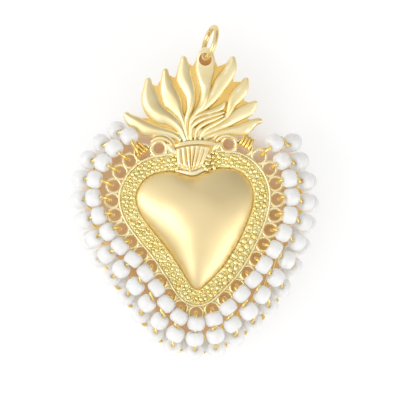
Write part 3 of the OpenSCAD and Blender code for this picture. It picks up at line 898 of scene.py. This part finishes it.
# Flames from the left to the right, then the small ones in front of them. Each has stations from root
# to tip as (x, z, reach of the left slope, reach of the right slope), and its crest's height at its root,
# its middle and its tip
FLAMES = [
    ([
        (-2.63, 0.69, 0.42, 0.89), (-3.91, 1.64, 0.75, 0.67), (-5.33, 2.06, 0.83, 0.81),
        (-7.03, 2.42, 1.14, 1.03), (-8.58, 2.98, 1.59, 1.14), (-10.14, 3.91, 1.57, 0.85),
        (-11.42, 4.68, 1.14, 0.53), (-12.37, 5.28, 0.26, 0.17),
    ], (0.75, 1.05, 0.6)),
    ([
        (-1.78, 0.65, 0.74, 0.65), (-2.49, 2.42, 0.95, 0.6), (-3.48, 3.55, 1.11, 0.95),
        (-4.76, 4.47, 1.34, 1.15), (-6.32, 5.11, 1.59, 1.62), (-7.73, 6.24, 1.35, 1.96),
        (-8.37, 7.8, 1.06, 1.97), (-8.44, 9.5, 0.62, 1.34), (-8.09, 11.37, 0.22, 0.33),
    ], (0.85, 1.15, 0.65)),
    ([
        (-1.61, 0.69, 0.55, 0.4), (-2.07, 3.27, 0.57, 0.28), (-2.49, 4.54, 0.79, 0.5),
        (-2.89, 5.82, 1.51, 0.71), (-3.41, 7.23, 2.22, 1.03), (-4.19, 8.37, 2.0, 1.28),
        (-4.97, 9.5, 1.32, 1.36), (-5.33, 11.2, 0.69, 1.03), (-5.24, 12.93, 0.21, 0.28),
    ], (0.7, 1.0, 0.6)),
    ([
        (-1.47, 0.69, 0.36, 0.37), (-1.78, 3.13, 0.32, 0.43), (-1.53, 4.83, 0.47, 0.62),
        (-1.08, 6.38, 0.78, 0.79), (-0.86, 8.08, 1.17, 0.85), (-1.22, 9.5, 1.46, 1.1),
        (-2.0, 11.2, 1.5, 1.34), (-2.32, 12.9, 0.89, 1.36), (-2.12, 15.05, 0.28, 0.34),
    ], (0.75, 1.05, 0.6)),
    ([
        (-1.08, 0.93, 0.22, 0.35), (-0.51, 4.26, 0.38, 0.51), (0.48, 5.46, 0.61, 0.67),
        (1.54, 6.53, 0.83, 0.83), (2.47, 7.8, 0.9, 1.14), (3.32, 9.22, 0.96, 1.33),
        (4.02, 10.63, 1.03, 1.58), (5.02, 11.91, 1.05, 1.46), (5.87, 13.33, 0.92, 1.16),
        (6.32, 14.98, 0.37, 0.32),
    ], (0.6, 1.0, 0.6)),
    ([
        (3.2, 3.3, 0.35, 0.35), (4.5, 3.95, 0.5, 0.5), (5.3, 4.9, 0.65, 0.6),
        (5.7, 5.9, 0.72, 0.79), (5.94, 7.23, 0.74, 1.34), (6.57, 8.44, 0.86, 1.63),
        (7.71, 9.78, 0.78, 1.39), (8.73, 11.3, 0.28, 0.32),
    ], (0.6, 0.9, 0.55)),
    ([
        (0.48, 0.86, 0.32, 0.45), (1.19, 1.64, 0.51, 0.55), (2.32, 2.28, 0.61, 0.67),
        (3.74, 2.84, 0.73, 0.71), (5.16, 3.55, 0.89, 0.86), (6.29, 4.4, 0.98, 1.06),
        (7.42, 5.25, 1.08, 1.31), (8.84, 6.38, 0.7, 1.55), (10.43, 7.23, 0.2, 0.56),
    ], (0.8, 1.05, 0.6)),
    ([
        (1.33, 0.79, 0.32, 0.35), (2.32, 1.43, 0.41, 0.51), (3.88, 1.99, 0.45, 0.66),
        (5.72, 2.42, 0.56, 0.86), (7.14, 2.7, 0.63, 1.28), (8.42, 3.2, 0.65, 1.41),
        (9.69, 3.76, 0.45, 0.95), (11.25, 4.06, 0.13, 0.17),
    ], (0.75, 0.9, 0.5)),
    ([
        (-1.15, 1.0, 0.22, 0.28), (-1.01, 3.13, 0.28, 0.36), (-0.72, 3.98, 0.45, 0.41),
        (-0.08, 4.61, 0.55, 0.45), (1.19, 5.11, 0.52, 0.48), (2.89, 5.61, 0.61, 0.54),
        (4.17, 6.24, 0.63, 0.65), (4.96, 7.26, 0.17, 0.24),
    ], (0.95, 1.15, 0.8)),
    ([
        (-0.86, 0.69, 0.32, 0.31), (-0.82, 2.7, 0.37, 0.41), (-0.23, 3.55, 0.5, 0.53),
        (0.91, 4.26, 0.51, 0.6), (2.32, 4.76, 0.45, 0.61), (3.74, 5.18, 0.41, 0.55),
        (4.9, 5.46, 0.19, 0.19),
    ], (1.0, 1.2, 0.9)),
    ([
        (-0.2, 0.69, 0.32, 0.33), (-0.01, 2.28, 0.36, 0.42), (0.62, 3.06, 0.45, 0.51),
        (1.76, 3.76, 0.41, 0.58), (3.17, 4.33, 0.42, 0.58), (4.76, 4.9, 0.2, 0.22),
    ], (1.0, 1.2, 0.9)),
    ([
        (0.62, 0.69, 0.33, 0.36), (0.98, 1.92, 0.43, 0.51), (1.83, 2.73, 0.46, 0.54),
        (3.1, 3.44, 0.44, 0.54), (4.38, 4.12, 0.39, 0.45), (5.16, 4.68, 0.2, 0.22),
    ], (0.95, 1.15, 0.85)),
]
# The flame that widens to the ring's hole: its stations, its crest's height and its flat share by z
RING_FLAME = [
    (-1.22, 0.79, 0.29, 0.36), (-1.01, 3.83, 0.38, 0.43), (-0.16, 5.18, 0.58, 0.65),
    (0.84, 6.46, 0.85, 0.88), (1.45, 7.87, 1.04, 0.88), (1.69, 9.36, 1.2, 0.81),
    (1.64, 10.78, 1.45, 1.08), (1.62, 12.62, 1.76, 1.52), (1.59, 14.18, 1.67, 1.67),
    (1.56, 15.31, 1.42, 1.43), (1.52, 15.95, 1.03, 1.05), (1.5, 16.33, 0.52, 0.54),
    (1.49, 16.49, 0.16, 0.16),
]
RING_FLAME_RISE = [(0.8, 0.65), (5, 0.95), (8, 1.05), (10, 0.9), (12, 0.6), (13.2, 0.49), (16.5, 0.42)]
RING_FLAME_FLAT = [(9.4, 0), (10.8, 0.45), (12.6, 0.75)]
FLAME_STEPS = 6
FLAME_MIDDLE = 0.45
FLAME_RISE, FLAME_SINK = 0.82, 0.05
SMALL_FLAMES = 4
# Section of a flame: its edge's share of the height, its crest's rounding, its slopes' hollow
EDGE_SHARE, SMALL_EDGE_SHARE = 0.42, 0.62
CREST_ROUND, SLOPE_HOLLOW, EDGE_FALL = 0.2, 1.2, 6
# Round tip of a flame: its radius, its stations, where it takes over, and its least width and height
TIP_ROUND, SMALL_TIP_ROUND = 0.58, 0.3
TIP_STATIONS = (0.3, 0.55, 0.75, 0.9, 0.97, 1)
TIP_TAKES, TIP_LEAST, TIP_LOW = 0.8, 0.02, 0.35
# Shares of the way from the crest to the edge where the section has points
ACROSS = [0, 0.05, 0.11, 0.18, 0.27, 0.38, 0.5, 0.62, 0.74, 0.84, 0.91, 0.955, 0.985, 1]


def slope_share(v, flat, edge):
    """Share of the crest's height at a share of the way out from the crest to the flame's edge."""
    v = max(0, v - flat) / (1 - flat)
    rounded = math.hypot(v, CREST_ROUND) - CREST_ROUND
    return (edge + (1 - edge) * max(0, 1 - rounded) ** SLOPE_HOLLOW) * (1 - v ** EDGE_FALL)


def tip_share(left_over, tip):
    """Share of its width that a round tip keeps at a way before its end."""
    return math.sqrt(max(TIP_LEAST, 1 - max(0, 1 - left_over / tip) ** 2)) if tip else 1


def flame_rings(stations, rise_at, flat_at, edge=EDGE_SHARE, tip=0):
    line = open_curve(stations, FLAME_STEPS)
    if tip:
        end, ahead = line[-1], unit(line[-1, :2] - line[-2, :2])
        last = [np.append(end[:2] - ahead * tip * (1 - s), end[2:]) for s in TIP_STATIONS]
        keep = np.linalg.norm(line[:, :2] - end[:2], axis=1) > tip * TIP_TAKES
        line = np.vstack([line[keep], last])
    run = run_along(line[:, :2])
    ahead = np.gradient(line[:, :2], axis=0)
    rings = []
    for (x, z, left, right), d, s in zip(line, ahead, run):
        over = np.array([-d[1], d[0]]) / np.linalg.norm(d)
        cap = tip_share(run[-1] - s, tip)
        rise, flat = rise_at(s / run[-1], z) * mix(TIP_LOW, 1, cap), flat_at(z)
        ring = []
        for u in [-v for v in reversed(ACROSS[1:])] + ACROSS:
            reach = cap * max(tip, left if u < 0 else right)
            high = rise * slope_share(abs(u), flat, edge) - FLAME_SINK * (abs(u) == 1)
            ring.append(crown_point(np.array([x, z]) - u * reach * over, FRONT_Y - high))
        rings.append(ring)
    return rings


def crest_rise(heights, t):
    root, middle, tip = heights
    if t < FLAME_MIDDLE:
        return mix(root, middle, smooth_step(t, 0, FLAME_MIDDLE))
    return mix(middle, tip, ((t - FLAME_MIDDLE) / (1 - FLAME_MIDDLE)) ** 2)


# The bore reaches this far before and behind the front of the flames' backing
BORE_BEFORE, BORE_BEHIND, BORE_SIDES = 3, 2, 72


def bored(shape):
    """Points and faces of a shape with the ring's hole cut through it."""
    hole = Shape()
    ring = [RING_HOLE + RING_HOLE_D / 2 * turned(360 * k / BORE_SIDES) for k in range(BORE_SIDES)]
    ends = (FRONT_Y - BORE_BEFORE, FRONT_Y + BORE_BEHIND)
    hole.loft([[np.array([p[0], y, p[1]]) for p in ring] for y in ends])
    made = []
    for name, part in (("blank", shape), ("bore", hole)):
        mesh = bpy.data.meshes.new(name)
        mesh.from_pydata(np.array(part.points).tolist(), [], part.faces)
        work = bmesh.new()
        work.from_mesh(mesh)
        bmesh.ops.recalc_face_normals(work, faces=work.faces)
        work.to_mesh(mesh)
        work.free()
        made.append(bpy.data.objects.new(name, mesh))
        scene.collection.objects.link(made[-1])
    blank, bore = made
    cut = blank.modifiers.new("ring_hole", "BOOLEAN")
    cut.operation, cut.solver, cut.object = "DIFFERENCE", "EXACT", bore
    with bpy.context.temp_override(object=blank, active_object=blank):
        bpy.ops.object.modifier_apply(modifier=cut.name)
    points = [np.array(v.co) for v in blank.data.vertices]
    faces = [tuple(f.vertices) for f in blank.data.polygons]
    for obj in made:
        mesh = obj.data
        bpy.data.objects.remove(obj)
        bpy.data.meshes.remove(mesh)
    return points, faces


# Low mound from which the flames rise: its middle, its half sizes, and its section as (share out, height)
ROOT_AT, ROOT_HALF = np.array([-0.65, 1.95]), np.array([2.75, 0.98])
ROOT_SIDES = 48
ROOT_SECTION = [(1, 0), (0.96, 0.22), (0.88, 0.32), (0.7, 0.4), (0.4, 0.44), (0.05, 0.45)]


def add_flames():
    shape = Shape()
    for i, (stations, heights) in enumerate(FLAMES):
        small = i >= len(FLAMES) - SMALL_FLAMES
        shape.loft(flame_rings(
            stations, lambda t, z: FLAME_RISE * crest_rise(heights, t), lambda z: 0,
            SMALL_EDGE_SHARE if small else EDGE_SHARE, SMALL_TIP_ROUND if small else TIP_ROUND,
        ))
    shape.loft([
        [
            crown_point(ROOT_AT + s * ROOT_HALF * turned(360 * k / ROOT_SIDES), FRONT_Y - h)
            for k in range(ROOT_SIDES)
        ]
        for s, h in ROOT_SECTION
    ])
    rings = flame_rings(
        RING_FLAME, lambda t, z: lookup(z, RING_FLAME_RISE), lambda z: lookup(z, RING_FLAME_FLAT)
    )
    shape.add(*bored(Shape().loft(rings)))
    shape.piece("flame_relief", satin_gold, "satin_gold", stands_for=["flame_tongues"])


BAND_HALF, BAND_ARCH, BAND_TOP, BAND_TILT, BAND_THIN = 3.6, 0.55, 0.33, 0.09, 0.35
BAND_W, BAND_RISE = 0.95, 1.2
BAND_SIDES, BAND_STEPS = 24, 60
BAND_FULL, BAND_SQUARE, BAND_END = 0.95, 4, 6
GROOVE_DEEP, GROOVE_HALF = 0.17, 0.09


def add_collar():
    """An arched band with a groove along its middle, thinner at its ends."""
    section = []
    for k in range(BAND_SIDES + 1):
        u = k / BAND_SIDES - 0.5
        groove = GROOVE_DEEP * math.exp(-((u / GROOVE_HALF) ** 2))
        section.append((u, BAND_FULL * (1 - abs(2 * u) ** BAND_SQUARE) ** 0.5 - groove))
    rings = []
    for j in range(BAND_STEPS + 1):
        t = 2 * j / BAND_STEPS - 1
        end = 1 - BAND_THIN * t ** BAND_END
        middle = crown_point((BAND_HALF * t, BAND_TOP - BAND_ARCH * t * t + BAND_TILT * t), FRONT_Y)
        rings.append([
            middle + np.array([0, -h * BAND_RISE * end, -u * BAND_W * end]) for u, h in section
        ])
    Shape().loft(rings).piece("collar", satin_gold, "satin_gold", stands_for=["crown_band"])


FLUTES, FLUTE_STEPS, FLUTE_ROWS = 7, 16, 18
FLUTE_ROUND = 0.7
CALYX_RISE = 0.95
FAN_TOP = (np.array([-3.4, -0.5]), np.array([2.3, -0.25]))
FAN_LEFT, FAN_POINT, FAN_RIGHT = np.array([-3.2, -3.75]), np.array([-0.95, -4.6]), np.array([1.05, -3.7])
FAN_POINT_AT, FAN_CURVE = 0.47, 1.15
FAN_ARCH, FAN_SIDE, FAN_HEAD, FAN_FOOT, FLUTE_VALLEY = 0.5, 0.85, 0.8, 0.5, 0.68
FAN_SWELL, FAN_FOOT_FROM = 1.2, 0.8
FAN_RIGHT_EDGE = [(-3.7, 1.05), (-0.8, 2.2)]
# Rounded strip that edges the dome in its notch below the fan, as (way out, height)
NOTCH_SECTION = [(-SEAM, 0), (-SEAM, 0.5), (0.12, 0.62), (0.35, 0.66), (0.55, 0.6), (0.72, 0.4), (0.76, 0)]
NOTCH_THIN, NOTCH_ROUND = 0.3, 0.6


def fan_low(t):
    """Lower edge of the fan: a rounded V with its point over the dome's notch."""
    if t < FAN_POINT_AT:
        return mix(FAN_LEFT, FAN_POINT, math.sin(math.pi / 2 * t / FAN_POINT_AT) ** FAN_CURVE)
    return mix(FAN_RIGHT, FAN_POINT, math.sin(math.pi / 2 * (1 - t) / (1 - FAN_POINT_AT)) ** FAN_CURVE)


def add_calyx():
    """Fluted fan from the collar to the dome's notch, and the strip round that notch."""
    n = FLUTES * FLUTE_STEPS
    rings = []
    for j in range(n + 1):
        t = j / n
        across = (2 * t - 1) ** 2
        ridge = abs(math.sin(math.pi * FLUTES * t)) ** FLUTE_ROUND
        rise = CALYX_RISE * mix(FLUTE_VALLEY, 1, ridge) * mix(1, FAN_SIDE, across)
        top = mix(*FAN_TOP, t) + np.array([0, FAN_ARCH * (1 - across) - BAND_W / 2])
        low = fan_low(t)
        ring = [crown_point(top, PLATE_Y)]
        for i in range(FLUTE_ROWS + 1):
            s = i / FLUTE_ROWS
            head = mix(FAN_HEAD, 1, math.sin(math.pi * min(1, FAN_SWELL * s) * 0.5))
            swell = head * mix(1, FAN_FOOT, smooth_step(s, FAN_FOOT_FROM, 1))
            ring.append(crown_point(mix(top, low, s), FRONT_Y - rise * swell))
        ring.append(crown_point(low, PLATE_Y))
        rings.append(ring)
    shape = Shape().loft(rings)
    notch = [i for i in range(-EDGE_COUNT // 2, EDGE_COUNT // 2) if i % EDGE_COUNT not in samples]
    rings = []
    for k, i in enumerate(notch):
        thin = mix(NOTCH_THIN, 1, math.sin(math.pi * k / (len(notch) - 1)) ** NOTCH_ROUND)
        rings.append([
            heart_point(fine_line[i] + thin * out * fine_normals[i], PLATE_Y - thin * rise)
            for out, rise in NOTCH_SECTION
        ])
    shape.loft(rings)
    shape.piece("fluted_fan", satin_gold, "satin_gold", stands_for=["calyx_fan"])


# Curls over the free holes: their middles, and two arcs as (mid radius, width, rise, first and last angle)
CURL_LEFT_AT, CURL_RIGHT_AT = np.array([-6.1, -1.15]), np.array([5.2, -0.75])
CURL_LEFT = [(2.2, 0.62, 0.55, 24, 138), (2.75, 0.42, 0.45, 20, 118)]
CURL_RIGHT = [(2.2, 0.62, 0.55, 34, 150), (2.75, 0.42, 0.45, 58, 150)]
CURL_STEPS, CURL_SIDES = 48, 12
CURL_THIN, CURL_ROUND = 0.4, 0.5
# Leaf beside each end of the collar: its two points, its width and its rise
LEAF_LEFT = ((-5.0, 0.05), (-3.3, -1.85), 1.15, 0.4)
LEAF_RIGHT = ((4.25, 0.4), (2.7, -1.1), 0.85, 0.35)
LEAF_STEPS, LEAF_SIDES = 16, 10
LEAF_THIN, LEAF_ROUND = 0.1, 0.7


def add_leaf(shape, start, stop, wide, high):
    """A rounded leaf between two points, thin at both."""
    start, stop = np.array(start), np.array(stop)
    ahead = unit(stop - start)
    over = np.array([-ahead[1], ahead[0]])
    rings = []
    for i in range(LEAF_STEPS + 1):
        thin = max(LEAF_THIN, math.sin(math.pi * i / LEAF_STEPS) ** LEAF_ROUND)
        middle, half = mix(start, stop, i / LEAF_STEPS), thin * wide / 2
        ring = [crown_point(middle + half * over, PLATE_Y)]
        for b in half_turns(LEAF_SIDES):
            ring.append(crown_point(middle + half * math.cos(b) * over, FRONT_Y - thin * high * math.sin(b)))
        ring.append(crown_point(middle - half * over, PLATE_Y))
        rings.append(ring)
    shape.loft(rings)


def add_curl(name, node, centre, arcs, leaf):
    shape = Shape()
    add_leaf(shape, *leaf)
    for mid_r, wide, high, start, stop in arcs:
        rings = []
        for i in range(CURL_STEPS + 1):
            t = i / CURL_STEPS
            out = turned(mix(start, stop, t))
            thin = mix(CURL_THIN, 1, math.sin(math.pi * t) ** CURL_ROUND)
            ring = []
            for b in half_turns(CURL_SIDES):
                r = mid_r + thin * wide / 2 * math.cos(b)
                ring.append(crown_point(centre + r * out, FRONT_Y - thin * high * math.sin(b)))
            rings.append(ring)
        shape.loft(rings)
    shape.piece(name, satin_gold, "satin_gold", stands_for=[node])


WIRE_SIDES = 12


def add_binding_wire():
    Shape().tube(wire_route(), WIRE_D / 2, WIRE_SIDES).piece(
        "stitched_wire", wire_gold, "wire_gold", stands_for=["binding_wire"]
    )


BEAD_SHOW_D, BEAD_SHOW_LEN = 3.13, 2.38
BEAD_END_R = 0.66
BEAD_FULL, BEAD_FLAT = 0.68, 0.86
BEAD_ROWS, BEAD_SIDES = 22, 32
# The bead's eye, and the rounded lip at each of its ends
BEAD_EYE = 0.62
EYE_WIDEN, EYE_SET, EYE_LIP = 0.1, 0.04, 0.2
# How the beads differ: how far they stray, how far they lean, and their shares of the full sizes
BEAD_SEED = 11
BEAD_STRAY, BEAD_LEAN = 0.09, 0.16
BEAD_WIDE, BEAD_LONG = (0.97, 1), (0.94, 1)
# A way that no bead lies along, from which its rings take their turn
BEAD_SIDE = (0.31, 0.47, 0.83)


def bead_profile():
    """Rows of a bead, over its outside and back through its eye, as (radius, place along its axis)."""
    bore, half = BEAD_EYE / 2, BEAD_SHOW_LEN / 2
    profile = []
    for i in range(BEAD_ROWS + 1):
        a = math.pi * (i / BEAD_ROWS - 0.5)
        c, s = max(0, math.cos(a)), math.sin(a)
        r = BEAD_END_R + (BEAD_SHOW_D / 2 - BEAD_END_R) * c ** BEAD_FULL
        profile.append((r, half * math.copysign(abs(s) ** BEAD_FLAT, s)))
    profile += [(bore + EYE_WIDEN, half - EYE_SET), (bore, half - EYE_LIP)]
    profile += [(bore, 0.0), (bore, EYE_LIP - half), (bore + EYE_WIDEN, EYE_SET - half)]
    return profile


def add_beads():
    draw = random.Random(BEAD_SEED)
    profile = bead_profile()
    for k in range(BEAD_LOOPS):
        shape = Shape()
        for middle, axis in loop_beads(k):
            middle = middle + np.array([draw.uniform(-1, 1) for i in range(3)]) * BEAD_STRAY
            axis = unit(axis + np.array([draw.uniform(-1, 1) for i in range(3)]) * BEAD_LEAN)
            u = unit(np.cross(axis, BEAD_SIDE))
            v = np.cross(axis, u)
            wide, long = draw.uniform(*BEAD_WIDE), draw.uniform(*BEAD_LONG)
            rings = []
            for r, h in profile:
                grow = wide if r > BEAD_END_R else 1
                rings.append([
                    middle + long * h * axis + grow * r * (math.cos(a) * u + math.sin(a) * v)
                    for a in round_turns(BEAD_SIDES)
                ])
            shape.loft(rings, path_closed=True)
        node = f"bead_loop_{k + 1:02d}"
        shape.piece(f"seed_beads_{k + 1:02d}", white_bead, "white_bead", stands_for=[node])


for node, finish in (("heart_plate", plate_gold), ("flame_back", shaded_backing_gold)):
    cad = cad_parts[node]
    cad.data.materials.clear()
    cad.data.materials.append(finish)

add_jump_ring()
add_dome()
add_grains()
add_rim_wire()
add_eyelets()
add_flames()
add_collar()
add_calyx()
add_curl("curl_left", "scroll_left", CURL_LEFT_AT, CURL_LEFT, LEAF_LEFT)
add_curl("curl_right", "scroll_right", CURL_RIGHT_AT, CURL_RIGHT, LEAF_RIGHT)
add_binding_wire()
add_beads()

# The pendant lies on a white board, which takes a painted warm shade where the pendant covers it. The ring's
# hole is where the pendant turns, so a small painted shade of its own stays behind it
BOARD_GAP = 0.15
BOARD_HALF = 145.0
BOARD_WHITE = (0.36, 0.36, 0.36, 1)
BOARD_LIFT = 0.65
SHADE_WARM = (0.8, 0.5, 0.24, 1)
SHADE_REACH = 14.0
SHADE_FULL, SHADE_NONE = 0.25, 0.46
HOLE_SHADE_TAN = (0.82, 0.48, 0.22, 1)
HOLE_SHADE_OUT = 0.3
HOLE_SHADE_SIDES = 24


def board_finish(nodes):
    """White, with a painted warm shade where the pendant lies close over the board."""
    bare = nodes.node("ShaderNodeAmbientOcclusion", {}, {"Distance": SHADE_REACH * MM}, "AO")
    camera_ray = nodes.node("ShaderNodeLightPath", output="Is Camera Ray")
    covered = camera_ray * nodes.range(bare, SHADE_FULL, SHADE_NONE, 1, 0)
    return {
        "Base Color": nodes.blend(covered, BOARD_WHITE, SHADE_WARM),
        "Emission Color": nodes.blend(covered, (1, 1, 1, 1), (0, 0, 0, 1)),
        "Emission Strength": BOARD_LIFT,
    }


# Painted shade: a tan disc behind the ring's hole, where there is only shade
def painted_hole_shade(nodes):
    return {"Base Color": HOLE_SHADE_TAN}


def stage_face(name, points, rays, finish):
    """A flat face outside the pendant, seen from the front by the rays that are named and clear otherwise."""
    material, nodes = new_material(name)
    seen = 0.0
    for ray in rays:
        seen = seen + nodes.node("ShaderNodeLightPath", output=ray)
    front = 1 - nodes.node("ShaderNodeNewGeometry", output="Backfacing")
    face = nodes.node(
        "ShaderNodeBsdfPrincipled", {}, {"Roughness": 1.0, "Specular IOR Level": 0.0, **finish(nodes)}
    )
    clear = nodes.node("ShaderNodeBsdfTransparent")
    mixed = nodes.node("ShaderNodeMixShader", {}, {0: seen * front, 1: clear, 2: face})
    nodes.node("ShaderNodeOutputMaterial", {}, {"Surface": mixed})
    mesh = bpy.data.meshes.new(name)
    mesh.from_pydata((np.array(points) * MM).tolist(), [], [tuple(range(len(points)))])
    mesh.materials.append(material)
    obj = bpy.data.objects.new(name, mesh)
    scene.collection.objects.link(obj)


def add_board():
    y = float(cad_box[1][1]) / MM + BOARD_GAP
    x, z = VIEW_MIDDLE
    ways = ((-1, -1), (1, -1), (1, 1), (-1, 1))
    corners = [(x + BOARD_HALF * i, y, z + BOARD_HALF * k) for i, k in ways]
    stage_face("board", corners, ("Is Camera Ray", "Is Glossy Ray", "Is Transmission Ray"), board_finish)
    reach = RING_HOLE_D / 2 + HOLE_SHADE_OUT
    disc = [RING_HOLE + reach * turned(360 * k / HOLE_SHADE_SIDES) for k in range(HOLE_SHADE_SIDES)]
    stage_face("hole_shade", [(p[0], PLATE_Y + SEAM, p[1]) for p in disc], ("Is Camera Ray",), painted_hole_shade)


# Strength of the room's light, and the cosines over which it changes
ROOM_FRONT, ROOM_SIDE, ROOM_SPAN = 0.93, 0.8, (0.3, 0.9)
DIM_WAY, DIM, DIM_SPAN = (0.62, -0.45, 0.64), 0.36, (0.6, 0.97)


def add_world():
    """A bright room, brightest in front of the pendant and dimmer to its upper right; white to the camera."""
    world = bpy.data.worlds.new("Studio")
    world.use_nodes = True
    scene.world = world
    nodes = Nodes(world.node_tree)
    towards = nodes.node("ShaderNodeTexCoord", output="Generated")

    def along(way):
        return nodes.node(
            "ShaderNodeVectorMath", {"operation": "DOT_PRODUCT"}, {0: towards, 1: way}, "Value"
        )

    room = nodes.range(along((0, -1, 0)), *ROOM_SPAN, ROOM_SIDE, ROOM_FRONT)
    room = room - nodes.range(along(DIM_WAY), *DIM_SPAN, 0, DIM)
    seen = nodes.node("ShaderNodeLightPath", output="Is Camera Ray")
    strength = room + seen * (1 - room)
    sky = nodes.node("ShaderNodeBackground", {}, {"Color": (1, 1, 1, 1), "Strength": strength})
    nodes.node("ShaderNodeOutputWorld", {}, {"Surface": sky})


def add_softbox(name, towards, long_way, distance, size, glow):
    """An area lamp aimed at the heart; glow is the brightness that a mirror would show."""
    data = bpy.data.lights.new(name, "AREA")
    data.shape = "RECTANGLE"
    data.size, data.size_y = size[0] * MM, size[1] * MM
    data.energy = glow * math.pi * data.size * data.size_y
    lamp = bpy.data.objects.new(name, data)
    back = unit(np.array(towards, float))
    long = np.array(long_way, float)
    long = unit(long - (long @ back) * back)
    at = (np.array([HEART_AT[0], 0, HEART_AT[1]]) + distance * back) * MM
    columns = np.stack([np.cross(long, back), long, back], axis=1)
    lamp.matrix_world = Matrix.Translation(at.tolist()) @ Matrix(columns.tolist()).to_4x4()
    scene.collection.objects.link(lamp)


add_board()
add_world()
add_softbox(
    "key_left", towards=(-0.75, -0.645, -0.146), long_way=(0.4, -0.365, -0.43), distance=420,
    size=(185, 500), glow=2.2,
)
add_softbox(
    "fill_low_right", towards=(0.705, -0.342, -0.611), long_way=(0.6, 0, 0.75), distance=420,
    size=(200, 270), glow=2.5,
)
